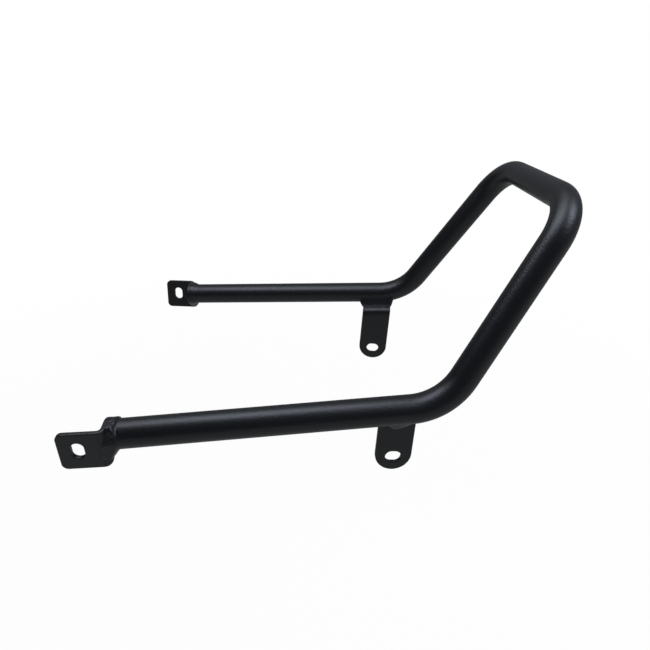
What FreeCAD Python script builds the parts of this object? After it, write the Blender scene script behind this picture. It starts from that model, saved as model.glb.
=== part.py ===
"""Motorcycle rear seat loop: a bent steel tube with four folded, slotted brackets welded on.

Two arms run back from the motorcycle's frame, kick up behind the seat and join in a cross bar. A bracket caps
the front end of each arm, and a second one hangs under each arm just ahead of its bend.

Millimetres and degrees. The origin is midway between the two front bolt slots. +X points to the rear of the
motorcycle, +Y to its right and +Z up. The right side is modelled, and the left side is its mirror image.
"""
import FreeCAD
import Part
import os
from math import acos, atan2, cos, degrees, hypot, pi, radians, sin, tan
from FreeCAD import Placement, Rotation, Vector

# Tube, measured on its axis, with each corner where the straight runs would meet
TUBE_OD = 22.0
TUBE_WALL = 2.0
ARM_LENGTH = 247.5
ARM_SPACING_FRONT = 253.9
ARM_SPACING_REAR = 216.3
LOOP_RUN = 96.3
LOOP_RISE = 144.6
LOOP_TOP_WIDTH = 153.4
ARM_BEND_RADIUS = 49.7
TOP_BEND_RADIUS = 38.8

# Bracket plate, with the radius inside its folds
PLATE = 3.5
FOLD_RADIUS = 2.5

# Front bracket: a tab beside the arm's line, folded inboard into a leg that caps the tube's end
FRONT_TAB_HEIGHT = 32.4
FRONT_TAB_CORNER = 5.0
FRONT_TAB_PROUD = 1.1
FRONT_TAB_LEAN = 5.9
FRONT_TAB_TILT = 2.3
FRONT_SLOT_REACH = 20.8
FRONT_SLOT_DROP = 2.2
FRONT_SLOT_TO_NOSE = 13.8
FRONT_SLOT_TO_TOP = 15.5
FRONT_SLOT_WIDTH = 9.2
FRONT_SLOT_TRAVEL = 4.7
FRONT_LEG_MARGIN = 1.4

# Rear bracket: a flange under the tube, folded down into a tab inboard of it
REAR_TAB_WIDTH = 30.6
REAR_TAB_INSET = 20.9
REAR_TAB_SLANT = 6.1
REAR_SLOT_SETBACK = 35.6
REAR_SLOT_DROP = 60.7
REAR_SLOT_TO_END = 12.9
REAR_SLOT_WIDTH = 10.6
REAR_SLOT_TRAVEL = 2.8
REAR_FLANGE_REACH = 18.9

# Weld beads, and the gap left between tube and flange. The angles are on the tube, from straight down
WELD_GAP = 0.1
FRONT_WELD_SIZE = 6.5
INNER_WELD_REACH = 14.5
INNER_WELD_ROOT = 4.0
INNER_WELD_ANGLE = 63.0
INNER_WELD_CROWN = 0.6
INNER_WELD_OVERRUN = 5.0
OUTER_WELD_LENGTH = 21.0
OUTER_WELD_TAPER = 5.0
OUTER_WELD_ANGLE = 45.0
OUTER_WELD_CROWN = 3.8

# Worked out from the sizes above
TUBE_RADIUS = TUBE_OD / 2
BORE_RADIUS = TUBE_RADIUS - TUBE_WALL
FOLD_OUTER = FOLD_RADIUS + PLATE
ARM_INSET = (ARM_SPACING_FRONT - ARM_SPACING_REAR) / 2
ARM_RUN = hypot(ARM_LENGTH, ARM_INSET)
ARM_TURN = Rotation(Vector(0, 0, 1), -degrees(atan2(ARM_INSET, ARM_LENGTH)))
FRONT_ROLL = Rotation(Vector(1, 0, 0), -FRONT_TAB_LEAN)
FRONT_OUTER_FACE = TUBE_RADIUS + FRONT_TAB_PROUD
FRONT_INNER_FACE = FRONT_OUTER_FACE - PLATE
FRONT_SLOT = Vector(-FRONT_SLOT_REACH, FRONT_OUTER_FACE - PLATE / 2, -FRONT_SLOT_DROP)
FRONT_SLOT_FROM_END = ARM_TURN.multVec(FRONT_ROLL.multVec(FRONT_SLOT))
TUBE_END = Vector(-FRONT_SLOT_FROM_END.x, ARM_SPACING_FRONT / 2, -FRONT_SLOT_FROM_END.z)
FRONT_LEG_RADIUS = TUBE_RADIUS + FRONT_LEG_MARGIN
FLANGE_TOP = -TUBE_RADIUS - WELD_GAP
REAR_SLOT = Vector(-REAR_SLOT_SETBACK, -REAR_TAB_INSET, -REAR_SLOT_DROP)
REAR_FLANGE_MIDDLE = REAR_SLOT.x + (FLANGE_TOP - REAR_SLOT.z) * tan(radians(REAR_TAB_SLANT))
REAR_FLANGE_HALF = REAR_TAB_WIDTH / 2 / cos(radians(REAR_TAB_SLANT))
REAR_FLANGE_END = REAR_FLANGE_REACH - REAR_TAB_INSET


def line(start, end):
    return Part.LineSegment(start, end).toShape()


def arc(start, middle, end):
    return Part.Arc(start, middle, end).toShape()


def rounded_run(corners, radii):
    """Edges of a run through the corners, each inner corner rounded by a tangent arc of its radius."""
    edges = []
    start = corners[0]
    for before, corner, after, radius in zip(corners, corners[1:], corners[2:], radii):
        back = (before - corner).normalize()
        onward = (after - corner).normalize()
        half = back.getAngle(onward) / 2
        first = corner + back * (radius / tan(half))
        last = corner + onward * (radius / tan(half))
        middle = corner + (back + onward).normalize() * (radius / sin(half) - radius)
        edges += [line(start, first), arc(first, middle, last)]
        start = last
    return edges + [line(start, corners[-1])]


def face_inside(edges):
    """Flat face inside a run of edges, closed by a straight edge."""
    wire = Part.Wire(edges)
    ends = wire.OrderedVertexes
    return Part.Face(Part.Wire(edges + [line(ends[-1].Point, ends[0].Point)]))


def slot_cutter(centre, along, across, width, travel):
    """Round-ended slot through a plate: the bolt may slide by travel, in the direction along."""
    ahead = centre + along * (travel / 2)
    behind = centre - along * (travel / 2)
    side = across * (width / 2)
    tip = along * (width / 2)
    normal = along.cross(across)
    outline = Part.Wire([
        arc(ahead + side, ahead + tip, ahead - side),
        line(ahead - side, behind - side),
        arc(behind - side, behind - tip, behind + side),
        line(behind + side, ahead + side),
    ])
    outline.translate(normal * -PLATE)
    return Part.Face(outline).extrude(normal * (2 * PLATE))


def on_arm(shape, along=0.0, roll=None):
    """Places a shape made about the arm's axis (X along the arm, Y outboard, Z up), behind the tube's end."""
    placement = Placement(TUBE_END + ARM_TURN.multVec(Vector(along, 0, 0)), ARM_TURN)
    if roll:
        placement = placement.multiply(Placement(Vector(), roll))
    return shape.transformed(placement.toMatrix(), copy=True)


def loop_path():
    """The tube's axis, from the right arm's end over the cross bar to the left arm's end."""
    bend = TUBE_END + Vector(ARM_LENGTH, -ARM_INSET, 0)
    top = Vector(bend.x + LOOP_RUN, LOOP_TOP_WIDTH / 2, bend.z + LOOP_RISE)
    right = [TUBE_END, bend, top]
    left = [Vector(p.x, -p.y, p.z) for p in reversed(right)]
    radii = [ARM_BEND_RADIUS, TOP_BEND_RADIUS, TOP_BEND_RADIUS, ARM_BEND_RADIUS]
    return Part.Wire(rounded_run(right + left, radii))


def bent_rod(radius):
    """Solid round bar along the tube's axis."""
    circle = Part.makeCircle(radius, TUBE_END, ARM_TURN.multVec(Vector(1, 0, 0)))
    return loop_path().makePipe(Part.Face(Part.Wire(circle)))


def front_edge_height(along, above_slot):
    """Height of the front tab's upper or lower edge, some way along the arm."""
    tilt = radians(FRONT_TAB_TILT)
    return FRONT_SLOT.z + above_slot / cos(tilt) - (along - FRONT_SLOT.x) * tan(tilt)


def front_tab():
    """Flat tab with two round corners, its edges rising to the front."""
    tilt = Rotation(Vector(0, 1, 0), FRONT_TAB_TILT)
    centre = Vector(FRONT_SLOT.x, FRONT_INNER_FACE, FRONT_SLOT.z)
    top = FRONT_SLOT_TO_TOP
    bottom = top - FRONT_TAB_HEIGHT
    corners = [
        Vector(-FOLD_OUTER, FRONT_INNER_FACE, front_edge_height(-FOLD_OUTER, top)),
        centre + tilt.multVec(Vector(-FRONT_SLOT_TO_NOSE, 0, top)),
        centre + tilt.multVec(Vector(-FRONT_SLOT_TO_NOSE, 0, bottom)),
        Vector(-FOLD_OUTER, FRONT_INNER_FACE, front_edge_height(-FOLD_OUTER, bottom)),
    ]
    tab = face_inside(rounded_run(corners, [FRONT_TAB_CORNER] * 2)).extrude(Vector(0, PLATE, 0))
    along = tilt.multVec(Vector(0, 0, 1))
    across = tilt.multVec(Vector(1, 0, 0))
    return tab.cut(slot_cutter(FRONT_SLOT, along, across, FRONT_SLOT_WIDTH, FRONT_SLOT_TRAVEL))


def front_leg_prism():
    """The leg seen along the tube, run along the arm: as tall as the tab at the fold, drawn in to a disc."""
    corners = []
    for side, above_slot in ((1, FRONT_SLOT_TO_TOP), (-1, FRONT_SLOT_TO_TOP - FRONT_TAB_HEIGHT)):
        height = front_edge_height(0.0, above_slot)
        reach = hypot(FRONT_INNER_FACE, height)
        touch = atan2(height, FRONT_INNER_FACE) + side * acos(min(1.0, FRONT_LEG_RADIUS / reach))
        corners.append([
            Vector(0, FRONT_OUTER_FACE, height),
            Vector(0, FRONT_INNER_FACE, height),
            Vector(0, FRONT_LEG_RADIUS * cos(touch), FRONT_LEG_RADIUS * sin(touch)),
        ])
    upper, lower = corners
    outline = face_inside([
        line(upper[0], upper[1]),
        line(upper[1], upper[2]),
        arc(upper[2], Vector(0, -FRONT_LEG_RADIUS, 0), lower[2]),
        line(lower[2], lower[1]),
        line(lower[1], lower[0]),
    ])
    run = Vector(1, 0, -tan(radians(FRONT_TAB_TILT))) * (2 * FOLD_OUTER)
    outline.translate(run * -1)
    return outline.extrude(run * 2)


def front_leg():
    """Fold and leg: bent in plan, then trimmed to the leg's outline."""
    pivot = Vector(-FOLD_OUTER, FRONT_OUTER_FACE - FOLD_OUTER, 0)
    diagonal = Vector(sin(pi / 4), sin(pi / 4), 0)
    inboard = -2 * FRONT_LEG_RADIUS
    plan = face_inside([
        arc(
            pivot + Vector(0, FOLD_OUTER, 0),
            pivot + diagonal * FOLD_OUTER,
            pivot + Vector(FOLD_OUTER, 0, 0),
        ),
        line(pivot + Vector(FOLD_OUTER, 0, 0), Vector(0, inboard, 0)),
        line(Vector(0, inboard, 0), Vector(-PLATE, inboard, 0)),
        line(Vector(-PLATE, inboard, 0), pivot + Vector(FOLD_RADIUS, 0, 0)),
        arc(
            pivot + Vector(FOLD_RADIUS, 0, 0),
            pivot + diagonal * FOLD_RADIUS,
            pivot + Vector(0, FOLD_RADIUS, 0),
        ),
    ])
    tall = 2 * FRONT_TAB_HEIGHT
    plan.translate(Vector(0, 0, -tall))
    return plan.extrude(Vector(0, 0, 2 * tall)).common(front_leg_prism())


def front_bracket():
    return front_tab().fuse(front_leg()).removeSplitter()


def front_weld(bracket):
    """Fillet bead round the tube, no wider than the leg, with a wedge between the fold and the tube's end."""
    along = Vector(1, 0, 0)
    size = FRONT_WELD_SIZE
    fillet = Part.makeCone(TUBE_RADIUS + size, TUBE_RADIUS, size, Vector(), along)
    tube = Part.makeCylinder(TUBE_RADIUS, size, Vector(), along)
    thick = FOLD_OUTER / 2
    corner = Vector(-thick, BORE_RADIUS, -TUBE_RADIUS)
    wedge = Part.makeBox(thick, FRONT_OUTER_FACE - BORE_RADIUS, TUBE_OD, corner)
    return fillet.cut(tube).common(front_leg_prism()).fuse(wedge).cut(bracket)


def rear_outline():
    """The rear tab seen from the side: parallel slanted edges and a round lower end."""
    slant = Rotation(Vector(0, 1, 0), REAR_TAB_SLANT)
    half = REAR_TAB_WIDTH / 2
    up = slant.multVec(Vector(0, 0, 1))
    ahead = slant.multVec(Vector(-1, 0, 0))
    centre = REAR_SLOT + up * (half - REAR_SLOT_TO_END)
    above = up * (2 * REAR_SLOT_DROP)
    return face_inside([
        line(centre + ahead * half + above, centre + ahead * half),
        arc(centre + ahead * half, centre - up * half, centre - ahead * half),
        line(centre - ahead * half, centre - ahead * half + above),
    ])


def rear_bracket():
    """Flange, fold and tab: bent in section across the arm, then trimmed to the tab's outline."""
    inboard = -REAR_TAB_INSET - PLATE / 2
    pivot = Vector(0, inboard + FOLD_OUTER, FLANGE_TOP - FOLD_OUTER)
    diagonal = Vector(0, -sin(pi / 4), sin(pi / 4))
    low = -2 * REAR_SLOT_DROP
    section = face_inside([
        line(Vector(0, inboard, low), pivot + Vector(0, -FOLD_OUTER, 0)),
        arc(
            pivot + Vector(0, -FOLD_OUTER, 0),
            pivot + diagonal * FOLD_OUTER,
            pivot + Vector(0, 0, FOLD_OUTER),
        ),
        line(pivot + Vector(0, 0, FOLD_OUTER), Vector(0, REAR_FLANGE_END, FLANGE_TOP)),
        line(Vector(0, REAR_FLANGE_END, FLANGE_TOP), Vector(0, REAR_FLANGE_END, FLANGE_TOP - PLATE)),
        line(Vector(0, REAR_FLANGE_END, FLANGE_TOP - PLATE), pivot + Vector(0, 0, FOLD_RADIUS)),
        arc(
            pivot + Vector(0, 0, FOLD_RADIUS),
            pivot + diagonal * FOLD_RADIUS,
            pivot + Vector(0, -FOLD_RADIUS, 0),
        ),
        line(pivot + Vector(0, -FOLD_RADIUS, 0), Vector(0, inboard + PLATE, low)),
    ])
    reach = 2 * (REAR_SLOT_SETBACK + REAR_TAB_WIDTH)
    section.translate(Vector(-reach, 0, 0))
    outline = rear_outline()
    outline.translate(Vector(0, -REAR_TAB_INSET, 0))
    deep = 2 * (REAR_FLANGE_REACH + PLATE)
    bracket = section.extrude(Vector(2 * reach, 0, 0)).common(outline.extrude(Vector(0, deep, 0)))
    slant = Rotation(Vector(0, 1, 0), REAR_TAB_SLANT)
    along = slant.multVec(Vector(1, 0, 0))
    across = slant.multVec(Vector(0, 0, -1))
    return bracket.cut(slot_cutter(REAR_SLOT, along, across, REAR_SLOT_WIDTH, REAR_SLOT_TRAVEL))


def on_tube(angle):
    """Point on the tube's skin, turned outboard from straight down."""
    return Vector(0, TUBE_RADIUS * sin(radians(angle)), -TUBE_RADIUS * cos(radians(angle)))


def rear_weld(root, toe, crown, inside, start, end, taper):
    """Bead along the arm: its section bulges by crown from plate to tube and closes through the points inside.

    Seen from above its ends slant, from full length at the last inside point to a shorter outer edge.
    """
    chord = toe - root
    outward = Vector(0, chord.z, -chord.y).normalize()
    middle = (root + toe) * 0.5
    if outward.dot(middle) < 0:
        outward = -outward
    closing = [toe] + inside
    edges = [line(first, last) for first, last in zip(closing, closing[1:])]
    section = face_inside([arc(root, middle + outward * crown, toe)] + edges)
    section.translate(Vector(start, 0, 0))
    back = inside[-1].y
    outer = root.y if abs(root.y) > abs(toe.y) else toe.y
    beyond = outer + (outer - back) / 2
    low = -2 * REAR_SLOT_DROP
    plan = Part.makePolygon([
        Vector(start, back, low),
        Vector(end, back, low),
        Vector(end - 1.5 * taper, beyond, low),
        Vector(start + 1.5 * taper, beyond, low),
        Vector(start, back, low),
    ])
    return section.extrude(Vector(end - start, 0, 0)).common(Part.Face(plan).extrude(Vector(0, 0, -2 * low)))


def rear_weld_inner():
    """Fillet along the flange's upper face, run on past both ends of the flange."""
    root = Vector(0, -INNER_WELD_REACH, FLANGE_TOP)
    inside = [Vector(0, -INNER_WELD_ROOT, 0), Vector(0, -INNER_WELD_ROOT, FLANGE_TOP)]
    half = REAR_FLANGE_HALF + INNER_WELD_OVERRUN
    start = REAR_FLANGE_MIDDLE - half
    end = REAR_FLANGE_MIDDLE + half
    return rear_weld(root, on_tube(-INNER_WELD_ANGLE), INNER_WELD_CROWN, inside, start, end, INNER_WELD_OVERRUN)


def rear_weld_outer():
    """Shorter bead from the front corner of the flange's end up the tube's outboard side."""
    root = Vector(0, REAR_FLANGE_END, FLANGE_TOP - PLATE)
    inside = [Vector(0, REAR_FLANGE_END, 0)]
    start = REAR_FLANGE_MIDDLE - REAR_FLANGE_HALF
    end = start + OUTER_WELD_LENGTH
    return rear_weld(root, on_tube(OUTER_WELD_ANGLE), OUTER_WELD_CROWN, inside, start, end, OUTER_WELD_TAPER)


def right_side():
    """The right side's brackets and beads, each in its place on the right arm."""
    rod = bent_rod(TUBE_RADIUS)
    front = front_bracket()
    return {
        "front_bracket": on_arm(front, roll=FRONT_ROLL),
        "front_weld": on_arm(front_weld(front), roll=FRONT_ROLL),
        "rear_bracket": on_arm(rear_bracket(), ARM_RUN),
        "rear_weld_inner": on_arm(rear_weld_inner(), ARM_RUN).cut(rod),
        "rear_weld_outer": on_arm(rear_weld_outer(), ARM_RUN).cut(rod),
    }


def seat_loop():
    """Every piece by name."""
    pieces = {"loop_tube": bent_rod(TUBE_RADIUS).cut(bent_rod(BORE_RADIUS))}
    for name, shape in right_side().items():
        pieces[name + "_right"] = shape
        pieces[name + "_left"] = shape.mirror(Vector(), Vector(0, 1, 0))
    return pieces


os.makedirs("parts", exist_ok=True)
for name, shape in seat_loop().items():
    solids = shape.Solids
    solid = solids[0] if len(solids) == 1 else Part.Compound(solids)
    print(f"{name}: {len(solids)} solid, {solid.Volume / 1000:.3f} cm3, valid {solid.isValid()}")
    solid.exportStep(f"parts/{name}.step")
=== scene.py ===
# %% [markdown]
# # A motorcycle rear loop in satin black
#
# The object is a bent steel tube that frames the tail of a motorcycle: two arms run back, kick up and
# meet in a cross bar. Four folded plates with slots are welded to it, and all of it is powder coated
# satin black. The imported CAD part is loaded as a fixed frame. Every piece here is drawn around it, in
# the same place and at the same size.

from math import radians

import bpy
import bmesh
import numpy as np
from mathutils import Euler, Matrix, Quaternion, Vector


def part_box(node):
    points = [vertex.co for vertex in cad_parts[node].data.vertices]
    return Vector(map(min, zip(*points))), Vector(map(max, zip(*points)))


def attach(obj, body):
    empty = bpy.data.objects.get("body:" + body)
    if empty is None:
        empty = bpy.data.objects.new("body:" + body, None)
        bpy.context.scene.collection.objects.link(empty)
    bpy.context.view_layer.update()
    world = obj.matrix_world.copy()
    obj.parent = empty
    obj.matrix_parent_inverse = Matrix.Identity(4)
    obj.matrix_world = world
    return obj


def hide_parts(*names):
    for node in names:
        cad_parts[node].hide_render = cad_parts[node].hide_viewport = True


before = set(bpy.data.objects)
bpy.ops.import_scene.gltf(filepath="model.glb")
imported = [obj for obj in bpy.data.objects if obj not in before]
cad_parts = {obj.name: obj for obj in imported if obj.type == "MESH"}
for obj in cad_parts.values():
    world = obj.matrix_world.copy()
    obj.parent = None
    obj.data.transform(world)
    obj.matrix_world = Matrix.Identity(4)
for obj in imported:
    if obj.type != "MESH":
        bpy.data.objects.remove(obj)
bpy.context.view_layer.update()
MM = 0.001
print("nodes:", sorted(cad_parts))

# %% [markdown]
# ## Drawing sizes
#
# The looks are drawn from the same few sizes as the solids, in millimetres: the tube's axis is a run of
# straight lines with rounded corners, and each bracket is a flat blank with one fold. A size that is
# only for the eye, such as the radius that the coating leaves on a plate's edge, comes where it is
# first needed.

# %% Sizes of tube and plates
TUBE_RADIUS = 11.0
BORE_RADIUS = 9.0
ARM_LENGTH = 247.5
HALF_SPACING_FRONT = 126.95
HALF_SPACING_REAR = 108.15
LOOP_RUN = 96.3
LOOP_RISE = 144.6
HALF_TOP_WIDTH = 76.7
ARM_BEND_RADIUS = 49.7
TOP_BEND_RADIUS = 38.8
PLATE = 3.5
FOLD_RADIUS = 2.5

tube_low, tube_high = (np.array(corner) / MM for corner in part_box("loop_tube"))
ARM_HEIGHT = tube_high[2] - TUBE_RADIUS - LOOP_RISE
ARM_INSET = HALF_SPACING_FRONT - HALF_SPACING_REAR
ARM_TURN = np.arctan2(ARM_INSET, ARM_LENGTH)
ARM_RUN = np.hypot(ARM_LENGTH, ARM_INSET)
TUBE_END = np.array([tube_low[0] + TUBE_RADIUS * np.sin(ARM_TURN), HALF_SPACING_FRONT, ARM_HEIGHT])
BEND = TUBE_END + [ARM_LENGTH, -ARM_INSET, 0]
print("tube end:", TUBE_END.round(2), "bend corner:", BEND.round(2))

# %% [markdown]
# ## Helpers
#
# A surface here is a grid of points worked out with numpy, one row for each step along and one column
# for each step round. `grid_mesh` joins neighbours into quads, closes the seams, turns the faces
# outwards and hands the mesh to Blender with whole-array calls, which is far quicker than adding faces
# one at a time. `add_piece` makes the mesh an object that stands for one solid of the frame.

# %% Colours and nodes
def linear(hex_colour):
    """sRGB hex to linear RGBA: a straight toe below 0.04045, a power of 2.4 above it."""
    srgb = np.array([int(hex_colour[i:i + 2], 16) for i in (1, 3, 5)]) / 255
    rgb = np.where(srgb <= 0.04045, srgb / 12.92, ((srgb + 0.055) / 1.055) ** 2.4)
    return (*rgb.tolist(), 1.0)


def add_node(tree, kind, settings=None, inputs=None):
    """Adds a node. Settings are its properties; inputs, by name or number, are values or sockets to link."""
    node = tree.nodes.new(kind)
    for name, value in (settings or {}).items():
        setattr(node, name, value)
    for name, value in (inputs or {}).items():
        if isinstance(value, bpy.types.NodeSocket):
            tree.links.new(value, node.inputs[name])
        else:
            node.inputs[name].default_value = value
    return node


WHITE = linear("#ffffff")
print("white is", WHITE)

# %% Meshes and pieces
CM = 0.01
SAME_SPOT = 0.0005
SHARP_EDGE = radians(50)


def grid_mesh(name, points):
    """Closed surface from a grid of points in mm that wraps both ways; points in one spot become one.

    Its volume is the sum over all triangles of area vector times middle, divided by 3. Where that is below
    zero the faces point inwards, and they are turned round.
    """
    rows, columns = points.shape[:2]
    index = np.arange(rows * columns).reshape(rows, columns)
    ahead = np.roll(index, -1, axis=0)
    corners = [index, ahead, np.roll(ahead, -1, axis=1), np.roll(index, -1, axis=1)]
    quads = np.stack(corners, -1).reshape(-1, 4)
    flat = points.reshape(-1, 3) * MM
    a, b, c, d = flat[quads].transpose(1, 0, 2)
    first = np.cross(b - a, c - a) / 2 * (a + b + c) / 3
    second = np.cross(c - a, d - a) / 2 * (a + c + d) / 3
    volume = (first + second).sum() / 3
    if volume < 0:
        quads = quads[:, ::-1]
    mesh = bpy.data.meshes.new(name)
    mesh.vertices.add(len(flat))
    mesh.vertices.foreach_set("co", flat.ravel())
    mesh.loops.add(quads.size)
    mesh.loops.foreach_set("vertex_index", quads.ravel())
    mesh.polygons.add(len(quads))
    mesh.polygons.foreach_set("loop_start", np.arange(0, quads.size, 4))
    mesh.update(calc_edges=True)
    work = bmesh.new()
    work.from_mesh(mesh)
    bmesh.ops.remove_doubles(work, verts=work.verts, dist=SAME_SPOT * MM)
    work.to_mesh(mesh)
    work.free()
    mesh.polygons.foreach_set("use_smooth", np.ones(len(mesh.polygons), bool))
    mesh.set_sharp_from_angle(angle=SHARP_EDGE)
    print(name, len(mesh.polygons), "faces,", round(abs(volume) / CM ** 3, 2), "cm3")
    return mesh


def add_piece(name, points, node, material):
    """A surface as an object that rides on the part and stands for one of its CAD nodes."""
    mesh = grid_mesh(name, points)
    mesh.materials.append(material)
    piece = bpy.data.objects.new(name, mesh)
    bpy.context.scene.collection.objects.link(piece)
    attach(piece, "root")
    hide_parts(node)


def add_sides(name, right, left, material):
    """A piece on each side for the node of that name; both are drawn on the right, and left is mirrored."""
    add_piece("shaped_" + name + "_right", right, name + "_right", material)
    add_piece("shaped_" + name + "_left", left * [1, -1, 1], name + "_left", material)


def add_pair(name, points, material):
    """The same piece on both sides."""
    add_sides(name, points, points, material)


print("points closer than", SAME_SPOT, "mm become one")

# %% [markdown]
# ## The camera
#
# The photograph was taken from the left, a little behind the front brackets and above the arms, with a
# fairly wide lens close by: the near arm looks much thicker than the far one. The lens and the place
# come from fitting the tube's outline, so the same camera shows every piece where the photograph does.

# %% Camera
PICTURE_SIZE = 650
FOCAL_PIXELS = 512.8
CENTRE_PIXEL = (322.6, 265.0)
CAMERA_PLACE = (183.1, -434.5, 244.4)
CAMERA_TURN = (69.362, 2.343, -0.182)
SENSOR_WIDTH = 36.0

camera_data = bpy.data.cameras.new("camera")
camera_data.sensor_width = SENSOR_WIDTH
camera_data.lens = FOCAL_PIXELS / PICTURE_SIZE * SENSOR_WIDTH
camera_data.shift_x = (PICTURE_SIZE / 2 - CENTRE_PIXEL[0]) / PICTURE_SIZE
camera_data.shift_y = (CENTRE_PIXEL[1] - PICTURE_SIZE / 2) / PICTURE_SIZE
camera = bpy.data.objects.new("camera", camera_data)
camera.location = np.array(CAMERA_PLACE) * MM
camera.rotation_euler = Euler([radians(a) for a in CAMERA_TURN], "XYZ")
bpy.context.scene.collection.objects.link(camera)
bpy.context.scene.camera = camera
print("lens", round(camera_data.lens, 2), "mm")

# %% [markdown]
# ## Satin black powder coat
#
# Powder coat is polyester powder that is sprayed on dry and baked to a skin. It flows just enough to
# round the plates' edges and keeps a faint orange peel with a finer grain. To the eye that is a black
# with a soft, slightly grainy sheen. An IOR of 1.5 is typical, with a roughness near 0.4. Slow clouds
# of two close blacks keep the broad faces from looking flat, and the coat over the welds is a shade
# lighter.

# %% Powder coat
# The real peel and grain are finer than the render can show, so both are drawn as coarse as it needs.
PEEL_SPACING = 1.5
PEEL_DEPTH = 0.14
GRAIN_SPACING = 0.45
GRAIN_DEPTH = PEEL_DEPTH / 3
CLOUD_SPACING = 18.0
COAT_IOR = 1.5
ROUGHNESS = 0.37
ROUGHNESS_SPREAD = 0.06
# Blender's Mix node numbers its colour sockets like this.
MIX_FIRST = 6
MIX_SECOND = 7
MIX_RESULT = 2


def powder_coat(name, dark, light):
    """Satin polyester powder over steel: a colour between dark and light, and a bump of grain on peel."""
    material = bpy.data.materials.new(name)
    material.use_nodes = True
    tree = material.node_tree
    tree.nodes.clear()
    place = add_node(tree, "ShaderNodeTexCoord").outputs["Object"]
    noises = []
    for spacing, detail in ((PEEL_SPACING, 1.0), (GRAIN_SPACING, 2.0), (CLOUD_SPACING, 3.0)):
        noise = add_node(tree, "ShaderNodeTexNoise", None,
                         {"Vector": place, "Scale": 1 / (spacing * MM), "Detail": detail})
        noises.append(noise.outputs["Fac"])
    peel, grain, cloud = noises
    shade = add_node(tree, "ShaderNodeMix", {"data_type": "RGBA"},
                     {"Factor": cloud, MIX_FIRST: linear(dark), MIX_SECOND: linear(light)})
    dull = add_node(tree, "ShaderNodeMapRange", None,
                    {"Value": grain, "To Min": ROUGHNESS - ROUGHNESS_SPREAD,
                     "To Max": ROUGHNESS + ROUGHNESS_SPREAD})
    wave = add_node(tree, "ShaderNodeBump", None,
                    {"Height": peel, "Distance": PEEL_DEPTH * MM, "Strength": 1.0})
    fine = add_node(tree, "ShaderNodeBump", None,
                    {"Height": grain, "Distance": GRAIN_DEPTH * MM, "Strength": 1.0,
                     "Normal": wave.outputs["Normal"]})
    shader = add_node(tree, "ShaderNodeBsdfPrincipled", None,
                      {"Base Color": shade.outputs[MIX_RESULT], "Roughness": dull.outputs["Result"],
                       "IOR": COAT_IOR, "Normal": fine.outputs["Normal"]})
    add_node(tree, "ShaderNodeOutputMaterial", None, {"Surface": shader.outputs["BSDF"]})
    return material


coat = powder_coat("satin_black_powder_coat", "#0c0e11", "#111316")
weld_coat = powder_coat("powder_coat_over_weld", "#0d0f12", "#121417")
print("coats:", coat.name, weld_coat.name)

# %% [markdown]
# ## The bent tube
#
# One tube is bent four times. A profile carried along a path is the natural way to draw it: the path is
# straight runs with an arc at each corner, and the profile is a circle. The circle is carried out along
# the outer wall and back along the bore, so the grid closes on itself and the tube has a real wall.

# %% Paths
FEWEST_ARC_POINTS = 5


def rounded_path(corners, radii, step):
    """Points along straight runs, each inner corner replaced by an arc.

    A turn by t with radius r leaves the run r tan(t/2) before the corner and follows
    start + r (sin a ahead + (1 - cos a) inward), for a from 0 to t.
    """
    corners = np.asarray(corners, float)
    pieces = [corners[:1]]
    for before, corner, after, radius in zip(corners, corners[1:], corners[2:], radii):
        ahead = (corner - before) / np.linalg.norm(corner - before)
        onward = (after - corner) / np.linalg.norm(after - corner)
        turn = np.arccos(ahead @ onward)
        inward = (onward - ahead * (ahead @ onward)) / np.sin(turn)
        start = corner - ahead * radius * np.tan(turn / 2)
        angle = np.linspace(0, turn, max(FEWEST_ARC_POINTS, int(turn * radius / step) + 1))[:, None]
        pieces.append(start + radius * (np.sin(angle) * ahead + (1 - np.cos(angle)) * inward))
    pieces.append(corners[-1:])
    return np.concatenate(pieces)


def evenly(path, count):
    """The same path as count points at equal distances along it."""
    far = np.concatenate([[0], np.cumsum(np.linalg.norm(np.diff(path, axis=0), axis=1))])
    return np.stack([np.interp(np.linspace(0, far[-1], count), far, values) for values in path.T], -1)


TOP = np.array([BEND[0] + LOOP_RUN, HALF_TOP_WIDTH, BEND[2] + LOOP_RISE])
print("upper bend corner:", TOP.round(2))

# %% Tube
PATH_STEP = 3.0
ARC_STEP = PATH_STEP / 4
AROUND_TUBE = 96
ACROSS_UPRIGHT = np.array([-LOOP_RISE, 0, LOOP_RUN])


def carry_circle(path, radius, lean, count):
    """A circle square to the path at each point: path + radius (cos a side + sin a over).

    Side is square to the path and to lean, and over is square to both path and side.
    """
    ahead = np.gradient(path, axis=0)
    ahead /= np.linalg.norm(ahead, axis=1, keepdims=True)
    side = np.cross(ahead, lean)
    side /= np.linalg.norm(side, axis=1, keepdims=True)
    over = np.cross(side, ahead)
    angle = np.linspace(0, 2 * np.pi, count, endpoint=False)[:, None]
    return path[:, None] + radius * (np.cos(angle) * side[:, None] + np.sin(angle) * over[:, None])


half_loop = np.array([TUBE_END, BEND, TOP])
loop_corners = np.concatenate([half_loop, half_loop[::-1] * [1, -1, 1]])
loop_radii = [ARM_BEND_RADIUS, TOP_BEND_RADIUS, TOP_BEND_RADIUS, ARM_BEND_RADIUS]
axis = rounded_path(loop_corners, loop_radii, ARC_STEP)
axis_length = np.linalg.norm(np.diff(axis, axis=0), axis=1).sum()
axis = evenly(axis, int(axis_length / PATH_STEP))
outer_wall = carry_circle(axis, TUBE_RADIUS, ACROSS_UPRIGHT, AROUND_TUBE)
bore_wall = carry_circle(axis, BORE_RADIUS, ACROSS_UPRIGHT, AROUND_TUBE)
add_piece("bent_tube", np.concatenate([outer_wall, bore_wall[::-1]]), "loop_tube", coat)
print("tube's axis is", round(axis_length, 1), "mm long")

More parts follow.
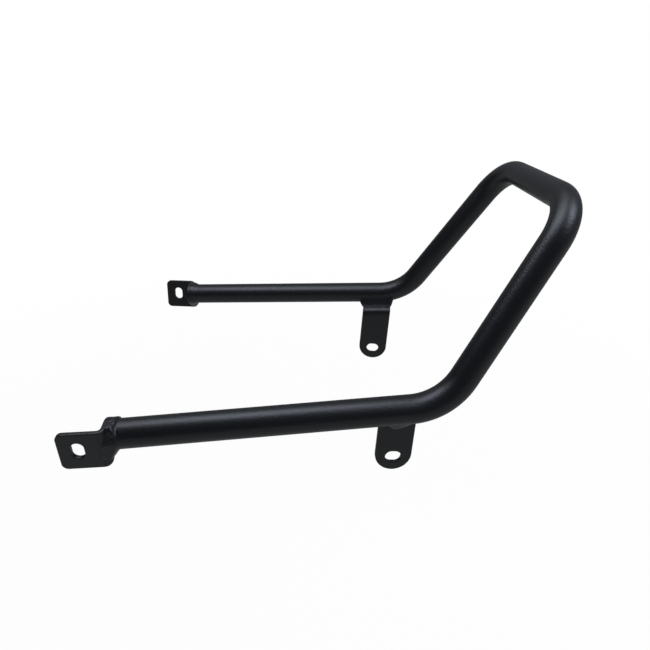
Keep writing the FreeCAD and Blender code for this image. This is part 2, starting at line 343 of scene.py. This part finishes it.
# %% [markdown]
# ## Folded brackets
#
# Each bracket is a flat blank, punched with a slot, then folded once in a press brake. The same two
# steps draw it here. First a flat plate: round the blank's outline goes a closed section, which crosses
# the upper face from slot to edge, rounds the rim, comes back underneath and rises round the slot's
# rim. Then a fold carries the flat points round a quarter turn. The rims are rounded, because edges are
# eased before coating and the coat rounds them further.

# %% Flat plate with a slot
RIM = 0.7
RIM_STEPS = 6
FACE_STEPS = 18
AROUND_PLATE = 420
ARC_POINTS = 64
OUTLINE_STEP = 0.2
TINY = 1e-9


def ring_arc(centre, radius, start, end):
    """Points on a circle: centre + radius (cos a, sin a)."""
    angle = np.linspace(start, end, ARC_POINTS)[:, None]
    return np.asarray(centre) + radius * np.concatenate([np.cos(angle), np.sin(angle)], 1)


def slot_ring(rays, width, travel, turn):
    """Where rays from a round-ended slot's middle leave it, and the direction square to its edge there.

    In the slot's own axes a ray (x, y) meets a straight side at r / |y|, or else an end circle at
    h |x| + sqrt(r^2 - h^2 y^2), with r half the width and h half the travel.
    """
    spin = np.array([[np.cos(turn), -np.sin(turn)], [np.sin(turn), np.cos(turn)]])
    x, y = np.abs(rays @ spin).T
    r = width / 2
    h = travel / 2
    side = r / np.maximum(y, TINY)
    end = h * x + np.sqrt(np.maximum(r * r - h * h * y * y, 0))
    local = (rays @ spin) * np.where(side * x <= h, side, end)[:, None]
    middle = np.stack([np.clip(local[:, 0], -h, h), np.zeros(len(local))], 1)
    return local @ spin.T, ((local - middle) / r) @ spin.T


def flat_plate(outline, slot, width, travel, turn):
    """A plate as a grid: round the outline one way, round the plate's section the other way.

    A point lies a share of the way from the slot's edge to the outline, moved square to either edge by what
    the rounded rim takes off, at the section's height there.
    """
    outline = evenly(np.concatenate([outline, outline[:1]]), AROUND_PLATE + 1)[:-1]
    along = np.roll(outline, -1, axis=0) - np.roll(outline, 1, axis=0)
    square = np.stack([along[:, 1], -along[:, 0]], 1) / np.linalg.norm(along, axis=1, keepdims=True)
    rays = outline - slot
    rays = rays / np.linalg.norm(rays, axis=1, keepdims=True)
    hole, hole_square = slot_ring(rays, width, travel, turn)
    hole = hole + slot
    face = np.linspace(0, 1, FACE_STEPS + 2)[1:-1]
    quarter = np.linspace(0, np.pi / 2, RIM_STEPS)
    bulge = RIM * np.sin(np.concatenate([quarter, quarter[::-1]]))
    level = PLATE / 2 - RIM + RIM * np.cos(quarter)
    rim_height = np.concatenate([level, -level[::-1]])
    ones = np.ones(len(bulge))
    share = np.concatenate([face, ones, face[::-1], 0 * ones])
    edge_out = np.concatenate([-RIM * face, bulge - RIM, -RIM * face[::-1], 0 * ones])
    hole_out = np.concatenate([RIM * (1 - face), 0 * ones, RIM * (1 - face[::-1]), RIM - bulge])
    height = np.concatenate([0 * face + PLATE / 2, rim_height, 0 * face - PLATE / 2, -rim_height])
    blend = share[None, :, None]
    plane = (1 - blend) * hole[:, None] + blend * outline[:, None]
    plane = plane + edge_out[None, :, None] * square[:, None]
    plane = plane + hole_out[None, :, None] * hole_square[:, None]
    return plane[..., 0], plane[..., 1], np.broadcast_to(height, plane.shape[:2])


print("one plate has", AROUND_PLATE * (2 * FACE_STEPS + 4 * RIM_STEPS), "points")

# %% Fold and place
NEUTRAL = FOLD_RADIUS + PLATE / 2
FOLD_OUTER = FOLD_RADIUS + PLATE
FOLD_LENGTH = NEUTRAL * np.pi / 2


def folded(far, height):
    """A flat strip folded down a quarter turn: far along it and height above its middle give ahead and up.

    The fold starts at far = 0, about a pivot that is a neutral radius below the strip's middle.
    """
    angle = np.clip(far / NEUTRAL, 0, np.pi / 2)
    ahead = np.minimum(far, 0) + (NEUTRAL + height) * np.sin(angle)
    up = (NEUTRAL + height) * np.cos(angle) - np.maximum(far - FOLD_LENGTH, 0)
    return ahead, up


def on_arm(x, y, z, along=0.0, roll=0.0):
    """Points given behind the tube's end, outboard and up: rolled about the arm, then turned with it."""
    outboard = y * np.cos(roll) + z * np.sin(roll)
    up = z * np.cos(roll) - y * np.sin(roll)
    behind = x + along
    turned = [behind * np.cos(ARM_TURN) + outboard * np.sin(ARM_TURN),
              outboard * np.cos(ARM_TURN) - behind * np.sin(ARM_TURN), up]
    return np.stack(turned, -1) + TUBE_END


print("fold uses", round(FOLD_LENGTH, 2), "mm of strip")

# %% [markdown]
# ## Front brackets
#
# The tab runs forward beside the motorcycle's frame and has an upright slot. Behind the fold the leg
# caps the tube: it is as tall as the tab at the fold and is drawn in to a disc a little larger than the
# tube. The bracket was set by hand before welding, so it leans outwards at the foot and its edges climb
# a little to the front.

# %% Front brackets
FRONT_LEAN = radians(5.9)
FRONT_TILT = radians(2.3)
FRONT_PROUD = 1.1
FRONT_OUTER_FACE = TUBE_RADIUS + FRONT_PROUD
FRONT_INNER_FACE = FRONT_OUTER_FACE - PLATE
FRONT_SLOT = np.array([-20.8, -2.2])
FRONT_SLOT_WIDTH = 9.2
FRONT_SLOT_TRAVEL = 4.7
FRONT_TO_NOSE = 13.8
FRONT_TO_TOP = 15.5
FRONT_TO_BOTTOM = 16.9
FRONT_CORNER = 5.0
FRONT_LEG_MARGIN = 1.4
FRONT_LEG_RADIUS = TUBE_RADIUS + FRONT_LEG_MARGIN
FRONT_PIVOT = FRONT_OUTER_FACE - FOLD_OUTER
FRONT_EDGES = FRONT_SLOT[1] + np.array([-FRONT_TO_BOTTOM, FRONT_TO_TOP]) / np.cos(FRONT_TILT)
FRONT_NECKS = FRONT_EDGES + FRONT_SLOT[0] * np.tan(FRONT_TILT)
TOP_NECK_CORNER = 4.0
FOOT_NECK_CORNER = 7.0


def front_blank():
    """The blank's outline, along the strip and up, and its slot's middle.

    It goes anticlockwise round the leg's disc, from the lower tangent to the upper one, then round the tab.
    """
    neck_far = NEUTRAL * np.arccos((FRONT_INNER_FACE - FRONT_PIVOT) / NEUTRAL)
    disc = np.array([FOLD_LENGTH + FRONT_PIVOT, 0])
    slot = FRONT_SLOT + [FOLD_OUTER, 0]
    ahead = np.array([-np.cos(FRONT_TILT), np.sin(FRONT_TILT)])
    up = np.array([np.sin(FRONT_TILT), np.cos(FRONT_TILT)])
    touch = []
    necks = []
    for side, neck in zip((-1, 1), FRONT_NECKS):
        from_disc = np.array([neck_far, neck]) - disc
        turn = np.arccos(min(1.0, FRONT_LEG_RADIUS / np.linalg.norm(from_disc)))
        touch.append(np.arctan2(from_disc[1], from_disc[0]) - side * turn)
        necks.append(disc + from_disc)
    lower = touch[0] % (2 * np.pi) - 2 * np.pi
    leg = ring_arc(disc, FRONT_LEG_RADIUS, lower, touch[1])
    nose = slot + ahead * FRONT_TO_NOSE
    corners = [leg[-1], necks[1], nose + up * FRONT_TO_TOP, nose - up * FRONT_TO_BOTTOM, necks[0], leg[0]]
    radii = [TOP_NECK_CORNER, FRONT_CORNER, FRONT_CORNER, FOOT_NECK_CORNER]
    run = rounded_path(corners, radii, OUTLINE_STEP)
    return np.concatenate([leg[:-1], run[:-1]]), slot


front_outline, front_slot_place = front_blank()
far, up, height = flat_plate(front_outline, front_slot_place, FRONT_SLOT_WIDTH, FRONT_SLOT_TRAVEL,
                             np.pi / 2 - FRONT_TILT)
ahead, outboard = folded(far, height)
front_plate = on_arm(ahead - FOLD_OUTER, outboard + FRONT_PIVOT, up, roll=FRONT_LEAN)
add_pair("front_bracket", front_plate, coat)

# %% [markdown]
# ## Rear brackets
#
# A short flange lies under the tube, and the tab hangs from its inboard edge with a round end and a
# level slot. The tab slants forward a little towards its foot.

# %% Rear brackets
REAR_SLOT = np.array([-35.6, -60.7])
REAR_SLANT = radians(6.1)
REAR_HALF = 15.3
REAR_SLOT_WIDTH = 10.6
REAR_SLOT_TRAVEL = 2.8
REAR_TO_END = 12.9
REAR_INSET = 20.9
WELD_GAP = 0.1
FLANGE_TOP = -TUBE_RADIUS - WELD_GAP
FLANGE_END = -2.0
FLANGE_CORNER = 2.0
SLANT_CORNER = 40.0
REAR_PIVOT = np.array([FOLD_OUTER - PLATE / 2 - REAR_INSET, FLANGE_TOP - FOLD_OUTER])
FLANGE_MIDDLE = REAR_SLOT[0] + (FLANGE_TOP - REAR_SLOT[1]) * np.tan(REAR_SLANT)
FLANGE_HALF = REAR_HALF / np.cos(REAR_SLANT)
FLANGE_FRONT = FLANGE_MIDDLE - FLANGE_HALF
FLANGE_BACK = FLANGE_MIDDLE + FLANGE_HALF


def rear_blank():
    """The blank's outline, along the strip from flange to tab and along the arm, and its slot's middle.

    It goes round the tab's round end, then up one side, round the flange and down the other side.
    """
    slot = np.array([FOLD_LENGTH + REAR_PIVOT[1] - REAR_SLOT[1], REAR_SLOT[0]])
    down = np.array([np.cos(REAR_SLANT), -np.sin(REAR_SLANT)])
    centre = slot - down * (REAR_HALF - REAR_TO_END)
    end = ring_arc(centre, REAR_HALF, -np.pi / 2 - REAR_SLANT, np.pi / 2 - REAR_SLANT)
    flange_far = REAR_PIVOT[0] - FLANGE_END
    corners = [end[-1], (0, FLANGE_BACK), (flange_far, FLANGE_BACK), (flange_far, FLANGE_FRONT),
               (0, FLANGE_FRONT), end[0]]
    run = rounded_path(corners, [SLANT_CORNER, FLANGE_CORNER, FLANGE_CORNER, SLANT_CORNER], OUTLINE_STEP)
    return np.concatenate([end[:-1], run[:-1]]), slot


rear_outline, rear_slot_place = rear_blank()
far, along, height = flat_plate(rear_outline, rear_slot_place, REAR_SLOT_WIDTH, REAR_SLOT_TRAVEL,
                                np.pi / 2 - REAR_SLANT)
inboard, up = folded(far, height)
rear_plate = on_arm(along, REAR_PIVOT[0] - inboard, REAR_PIVOT[1] + up, along=ARM_RUN)
add_pair("rear_bracket", rear_plate, coat)

# %% [markdown]
# ## Weld beads
#
# The welds were laid by hand, so no bead is even. Each is a closed section carried along its seam. Slow
# waves with fixed phases make its size wander, small crossing waves give it lumps, and arches along the
# seam give the string of overlapping puddles, each a flat crescent, that the torch leaves behind.

# %% Unevenness of handwork
PUDDLE = 2.4
PUDDLE_BOW = 0.55
PUDDLE_POWER = 0.8
SLOW_WAVES = (2, 3, 5, 8, 13)
SLOW_PEAK = 1.6
LUMP_WAVES = ((7, 1), (11, -1), (16, 2), (23, -2), (9, 3))
LUMP_PEAK = 2.2


def puddles(far, across):
    """Crescent ripples: arches |sin| along the seam, bowed at the bead's edges; across goes from 0 to 1."""
    return np.abs(np.sin(np.pi * (far / PUDDLE + PUDDLE_BOW * (2 * across - 1) ** 2))) ** PUDDLE_POWER


def unevenness(turn, seed):
    """Slow waves round a turn with random but fixed phases, from about -1 to 1."""
    draw = np.random.default_rng(seed)
    total = np.zeros_like(turn)
    for waves in SLOW_WAVES:
        total = total + np.sin(waves * turn + draw.uniform(0, 2 * np.pi)) / np.sqrt(waves)
    return total / SLOW_PEAK


def lumps(turn, across, seed):
    """Small bumps over a bead, from about -1 to 1: crossing waves with random but fixed phases."""
    draw = np.random.default_rng(seed)
    total = 0.0
    for round_waves, cross_waves in LUMP_WAVES:
        phase = draw.uniform(0, 2 * np.pi)
        total = total + np.sin(round_waves * turn + cross_waves * np.pi * across + phase)
    return total / LUMP_PEAK


print("puddles are", PUDDLE, "mm apart")

# %% [markdown]
# ## Front welds
#
# A fillet runs round the tube where it meets the leg, out to the leg's edge. That edge isn't a circle,
# so how far it reaches is worked out for each direction round the tube. The two beads differ, as
# handwork does: the far one slopes evenly down to the tube, and the near one keeps to the edge, then
# ends in a step, with lumps on top.

# %% How far the leg reaches
# The bead stays FLUSH inside the tab's outer face. Its flat outer flank is turned up by FLANK_TURN and
# clears the tube by FLANK_CLEAR. SOFTEN is how many steps to each side are averaged.
FLUSH = 0.1
FLANK_TURN = radians(20)
FLANK_CLEAR = 0.25
FLANK_REACH = TUBE_RADIUS + FLANK_CLEAR
LEG_TANGENTS = 90
GRAZING = 0.01
SOFTEN = 7


def leg_reach(turn):
    """How far the bead may reach from the tube's middle, in each direction round it.

    The leg lies inside straight edges: the tab's outer face, its top and foot, and every tangent of the
    disc from one neck round to the other. One more edge, just clear of the tube, makes the bead's outer
    flank flat. A ray at an angle a to an edge's normal meets it at distance / cos a. The nearest edge
    counts, and a mean over a few neighbours softens the corners.
    """
    reach = np.hypot(FRONT_INNER_FACE, FRONT_NECKS)
    neck = np.arctan2(FRONT_NECKS, FRONT_INNER_FACE)
    foot, top = neck + np.array([-1, 1]) * np.arccos(np.minimum(1, FRONT_LEG_RADIUS / reach))
    tangents = np.linspace(top, foot + 2 * np.pi, LEG_TANGENTS)
    normals = np.concatenate([[0, FLANK_TURN, np.pi / 2, -np.pi / 2], tangents])
    straight = [FRONT_OUTER_FACE - FLUSH, FLANK_REACH, FRONT_NECKS[1], -FRONT_NECKS[0]]
    edges = np.concatenate([straight, 0 * tangents + FRONT_LEG_RADIUS])
    reach = (edges / np.maximum(np.cos(turn - normals), GRAZING)).min(axis=1, keepdims=True)
    return np.mean([np.roll(reach, step, axis=0) for step in range(-SOFTEN, SOFTEN + 1)], axis=0)


print("the leg's disc stands", FRONT_LEG_MARGIN, "mm past the tube")

# %% Front welds
# The wanders are how much handwork changes the bead's size and edge. SMOOTH rounds its slope, LUMPS_BELOW
# is the share of the lumps on the underside, and the section closes BURIED deep in tube and leg.
AROUND_WELD = 360
WELD_STEPS = 24
FRONT_WELD_WEDGE = 5.0
SIZE_WANDER = 0.5
EDGE_WANDER = 0.15
SMOOTH = 0.6
LUMPS_BELOW = 0.4
BURIED = 0.6


def front_weld(size, step, lump, seed):
    """A ring of sections round the tube: over the bead from leg to tube, then back inside the metal.

    With step 0 the bead slopes evenly from the leg's edge to the tube, size behind the leg. With step 1 it
    keeps to the edge first and then falls at 45 degrees. Beside the fold the leg's back curves forward to
    sqrt(r^2 - y^2) - r, and the bead fills that wedge.
    """
    turn = np.linspace(0, 2 * np.pi, AROUND_WELD, endpoint=False)[:, None]
    size = size + SIZE_WANDER * unevenness(turn, seed)
    edge = np.minimum(leg_reach(turn) + EDGE_WANDER * unevenness(turn, seed + 1), TUBE_RADIUS + size)
    beside = np.clip(edge * np.cos(turn) - FRONT_PIVOT, 0, FOLD_OUTER)
    root = np.maximum(np.sqrt(FOLD_OUTER ** 2 - beside ** 2) - FOLD_OUTER, -FRONT_WELD_WEDGE)
    across = np.linspace(0, 1, WELD_STEPS)
    x = root + (size - root) * across
    hold = step * (1 - (edge - TUBE_RADIUS) / size)
    fall = np.clip((x / size - hold) / (1 - hold), 0, 1)
    fall = (1 - SMOOTH) * fall + SMOOTH * fall ** 2 * (3 - 2 * fall)
    top_share = LUMPS_BELOW + (1 - LUMPS_BELOW) * np.maximum(np.sin(turn), 0)
    rough = lump * top_share * lumps(turn, across, seed)
    radius = TUBE_RADIUS + (edge - TUBE_RADIUS) * (1 - fall) + rough * np.sin(np.pi * across)
    buried_x = np.concatenate([size - BURIED, root - BURIED], 1)
    buried_radius = np.concatenate([0 * size + TUBE_RADIUS - BURIED, radius[:, :1] - BURIED], 1)
    x = np.concatenate([x, buried_x], 1)
    radius = np.concatenate([radius, buried_radius], 1)
    return on_arm(x, radius * np.cos(turn), radius * np.sin(turn), roll=FRONT_LEAN)


far_bead = front_weld(size=8.0, step=0.1, lump=0.05, seed=5)
near_bead = front_weld(size=6.5, step=1.0, lump=0.14, seed=3)
add_sides("front_weld", far_bead, near_bead, weld_coat)

# %% [markdown]
# ## Rear welds
#
# Along the tube's inboard side a slightly hollow fillet stands on the flange and runs on past both its
# ends. On the outboard side a shorter, full bead starts at the flange's end and thins out to the rear.
# Both are carried along the arm, and where the tube starts to bend up they climb with it.

# %% Rear welds
# The crown wanders over about WANDER_LENGTH, and the section closes inside the tube, at DEEP times its
# radius.
BEAD_STEPS = 150
BEND_TURN = np.arctan2(np.hypot(LOOP_RISE, HALF_SPACING_REAR - HALF_TOP_WIDTH), LOOP_RUN)
BEND_START = -ARM_BEND_RADIUS * np.tan(BEND_TURN / 2)
CROWN_WANDER = 0.05
WANDER_LENGTH = 9.0
PUDDLE_HEIGHT = 0.12
DEEP = 0.85


def on_skin(angle):
    """Point on the tube's skin, outboard and up from its middle, turned outboard from straight down."""
    return TUBE_RADIUS * np.array([np.sin(angle), -np.cos(angle)])


def rear_weld(root, toe_angle, crown, start, end, eases, seed):
    """A fillet from a point on the plate up to the tube, carried along the arm.

    It stands out from the straight line by crown times the arch 27/4 s (1 - s)^2, which is 1 a third of the
    way up. Over an ease's length at each end it slopes into the tube. Behind the start of the bend the tube
    climbs by r - sqrt(r^2 - x^2), and the bead's upper edge climbs with it.
    """
    far = np.linspace(start, end, BEAD_STEPS)[:, None]
    ramp = np.clip(np.minimum((far - start) / eases[0], (end - far) / eases[1]), 0, 1)
    full = ramp ** 2 * (3 - 2 * ramp)
    across = np.linspace(0, 1, WELD_STEPS)
    toe = on_skin(toe_angle)
    skin = on_skin(np.arctan2(root[0], -root[1]))
    edge = skin + (root - skin) * full
    chord = toe - root
    outward = np.array([chord[1], -chord[0]]) / np.linalg.norm(chord)
    outward = outward * np.sign(outward @ (root + toe))
    arch = 27 / 4 * across * (1 - across) ** 2
    wander = 1 + CROWN_WANDER * unevenness((far - start) / WANDER_LENGTH, seed)
    bulge = full * (crown * arch * wander + PUDDLE_HEIGHT * puddles(far, across) * np.sqrt(arch))
    side = edge[:, :1] + (toe[0] - edge[:, :1]) * across + outward[0] * bulge
    up = edge[:, 1:] + (toe[1] - edge[:, 1:]) * across + outward[1] * bulge
    into = np.maximum(far - BEND_START, 0)
    climb = ARM_BEND_RADIUS - np.sqrt(ARM_BEND_RADIUS ** 2 - into ** 2)
    up = up + climb * (1 - full + full * across)
    inside = DEEP * np.array([toe, skin])
    side = np.concatenate([side, 0 * far + inside[:, 0]], 1)
    up = np.concatenate([up, climb + inside[:, 1]], 1)
    return on_arm(far + 0 * side, side, up, along=ARM_RUN)


INNER_INSET = 15.6
INNER_SUNK = 0.2
INNER_ROOT = np.array([-INNER_INSET, FLANGE_TOP - INNER_SUNK])
INNER_OVERRUN = 5.0
OUTER_INSET = 0.5
OUTER_ROOT = np.array([FLANGE_END - OUTER_INSET, FLANGE_TOP - PLATE])
OUTER_OVERRUN = 4.0
OUTER_REACH = 30.0
inner = rear_weld(root=INNER_ROOT, toe_angle=radians(-79), crown=-0.5, start=FLANGE_FRONT - INNER_OVERRUN,
                  end=FLANGE_BACK + INNER_OVERRUN, eases=(INNER_OVERRUN, INNER_OVERRUN), seed=11)
add_pair("rear_weld_inner", inner, weld_coat)
outer = rear_weld(root=OUTER_ROOT, toe_angle=radians(58), crown=3.6, start=FLANGE_FRONT - OUTER_OVERRUN,
                  end=FLANGE_FRONT + OUTER_REACH, eases=(11, 23), seed=17)
add_pair("rear_weld_outer", outer, weld_coat)

# %% [markdown]
# ## Floor and backdrop
#
# The photograph has a plain white ground. The floor stays a real surface that takes the object's soft
# shadow. Most of what the camera and mirror-like rays see of it is an even white glow, and the rest is
# lit by the lamps, so the shadow is faint. The world is white to the same rays, and a dimmer fill to
# the rest.

# %% Stage sheets
def seen_ray(tree):
    """1 for the rays that show the background: those of the camera, of gloss and of glass."""
    path = add_node(tree, "ShaderNodeLightPath")
    either = add_node(tree, "ShaderNodeMath", {"operation": "MAXIMUM"},
                      {0: path.outputs["Is Camera Ray"], 1: path.outputs["Is Glossy Ray"]})
    return add_node(tree, "ShaderNodeMath", {"operation": "MAXIMUM"},
                    {0: either.outputs[0], 1: path.outputs["Is Transmission Ray"]}).outputs[0]


def level_sheet(half, level):
    """A level square as a grid: x and y from -half to half, z at the level."""
    x, y = np.meshgrid([-half, half], [-half, half], indexing="ij")
    return np.stack([x, y, 0 * x + level], -1)


def add_stage(name, points, material):
    """A sheet of studio gear from a grid of points in mm: part of the stage, not of the object."""
    rows, columns = points.shape[:2]
    index = np.arange(rows * columns).reshape(rows, columns)
    quads = np.stack([index[:-1, :-1], index[1:, :-1], index[1:, 1:], index[:-1, 1:]], -1).reshape(-1, 4)
    mesh = bpy.data.meshes.new(name)
    mesh.from_pydata((points.reshape(-1, 3) * MM).tolist(), [], quads.tolist())
    mesh.materials.append(material)
    sheet = bpy.data.objects.new(name, mesh)
    bpy.context.scene.collection.objects.link(sheet)
    print(name, len(quads), "faces")
    return sheet


print("stage helpers ready")

# %% Floor and world
FLOOR_DROP = 300.0
FLOOR_HALF = 6000.0
FLOOR_GLOW = 0.96
FLOOR_NEAR = 300.0
FLOOR_FAR = 1300.0
FILL = 0.35

paper = bpy.data.materials.new("white_background_paper")
paper.use_nodes = True
tree = paper.node_tree
tree.nodes.clear()
matt = add_node(tree, "ShaderNodeBsdfDiffuse", None, {"Color": linear("#faf7f2")})
glow = add_node(tree, "ShaderNodeEmission", None, {"Color": WHITE, "Strength": 1.0})
place = add_node(tree, "ShaderNodeNewGeometry").outputs["Position"]
away = add_node(tree, "ShaderNodeVectorMath", {"operation": "LENGTH"}, {0: place})
fade = add_node(tree, "ShaderNodeMapRange", {"interpolation_type": "SMOOTHSTEP"},
                {"Value": away.outputs["Value"], "From Min": FLOOR_NEAR * MM, "From Max": FLOOR_FAR * MM,
                 "To Min": FLOOR_GLOW, "To Max": 1.0})
share = add_node(tree, "ShaderNodeMath", {"operation": "MULTIPLY"},
                 {0: seen_ray(tree), 1: fade.outputs["Result"]})
both = add_node(tree, "ShaderNodeMixShader", None,
                {0: share.outputs[0], 1: matt.outputs[0], 2: glow.outputs[0]})
add_node(tree, "ShaderNodeOutputMaterial", None, {"Surface": both.outputs[0]})
add_stage("floor", level_sheet(FLOOR_HALF, -FLOOR_DROP), paper)

world = bpy.data.worlds.new("studio")
bpy.context.scene.world = world
world.use_nodes = True
tree = world.node_tree
tree.nodes.clear()
fill = add_node(tree, "ShaderNodeBackground", None, {"Color": WHITE, "Strength": FILL})
white = add_node(tree, "ShaderNodeBackground", None, {"Color": WHITE, "Strength": 1.0})
both = add_node(tree, "ShaderNodeMixShader", None,
                {0: seen_ray(tree), 1: fill.outputs[0], 2: white.outputs[0]})
add_node(tree, "ShaderNodeOutputWorld", None, {"Surface": both.outputs[0]})
bpy.context.scene.view_settings.view_transform = "Standard"
print("floor", FLOOR_DROP, "mm below the front slots")

# %% [markdown]
# ## Softboxes and the walls of the studio
#
# Black gloss shows its surroundings rather than its colour, so the tones in the photograph tell what
# stood where. The bright line on top of each arm and the left streak on the near upper bend are a long
# box close above the arms. The patch on the right of that bend is a box further off to the right. The
# tube's dark core is the unlit studio round the camera. Behind the object and below it the studio was
# grey. These walls are cards that only reflections see.

# %% Lamps
OBJECT_MIDDLE = np.array([180.0, 0.0, 40.0])
LAMP_WHITE = linear("#dfe9ff")[:3]


def look(azimuth, elevation):
    """Unit direction of an azimuth, anticlockwise from +X, and an elevation, both in radians."""
    level = np.cos(elevation)
    return np.stack([level * np.cos(azimuth), level * np.sin(azimuth), np.sin(elevation)], -1)


def softbox(name, azimuth, elevation, distance, width, depth, twist, radiance):
    """An area lamp square to the line to the object and twisted about it; power is pi radiance area."""
    outward = look(radians(azimuth), radians(elevation))
    data = bpy.data.lights.new(name, "AREA")
    data.shape = "RECTANGLE"
    data.size = width * MM
    data.size_y = depth * MM
    data.color = LAMP_WHITE
    data.energy = np.pi * radiance * data.size * data.size_y
    lamp = bpy.data.objects.new(name, data)
    lamp.location = (OBJECT_MIDDLE + distance * outward) * MM
    square_on = Vector(outward).to_track_quat("Z", "Y")
    lamp.rotation_euler = (square_on @ Quaternion((0, 0, 1), radians(twist))).to_euler()
    bpy.context.scene.collection.objects.link(lamp)
    print(name, round(data.energy, 1), "W")


softbox("overhead_box", azimuth=197, elevation=78, distance=640, width=380, depth=580, twist=-38,
        radiance=3.4)
softbox("right_box", azimuth=-24, elevation=46, distance=1300, width=660, depth=660, twist=0, radiance=5.4)

# %% Cards
CARD_RADIUS = 1600.0
UNDER_LEVEL = -290.0
WALL_COLUMNS = 48
WALL_ROWS = 24


def add_card(name, points, colour):
    """Painted light: a card that glows evenly in its colour, as a studio wall that only reflections see."""
    board = bpy.data.materials.new(name + "_glow_board")
    board.use_nodes = True
    board.node_tree.nodes.clear()
    even = add_node(board.node_tree, "ShaderNodeEmission", None, {"Color": linear(colour), "Strength": 1.0})
    add_node(board.node_tree, "ShaderNodeOutputMaterial", None, {"Surface": even.outputs[0]})
    card = add_stage(name, points, board)
    card.visible_camera = False
    card.visible_diffuse = False
    card.visible_shadow = False
    card.visible_transmission = False


def wall(azimuths, elevations):
    """A piece of a large sphere round the object, between two azimuths and two elevations in degrees."""
    azimuth = np.radians(np.linspace(*azimuths, WALL_COLUMNS))
    elevation = np.radians(np.linspace(*elevations, WALL_ROWS))
    return OBJECT_MIDDLE + CARD_RADIUS * look(*np.meshgrid(azimuth, elevation, indexing="ij"))


# Each card's glow is painted light for a lit or unlit studio wall. The grey floor card lies just above the
# floor, so reflections see a grey floor where the camera sees white.
add_card("dark_wall", wall(azimuths=(215, 318), elevations=(-16, 72)), "#3c3e41")
add_card("left_wall", wall(azimuths=(130, 215), elevations=(-16, 45)), "#3c3e41")
add_card("grey_wall", wall(azimuths=(-42, 130), elevations=(-16, 62)), "#7f8386")
add_card("grey_floor", level_sheet(CARD_RADIUS, UNDER_LEVEL), "#9c9ea0")
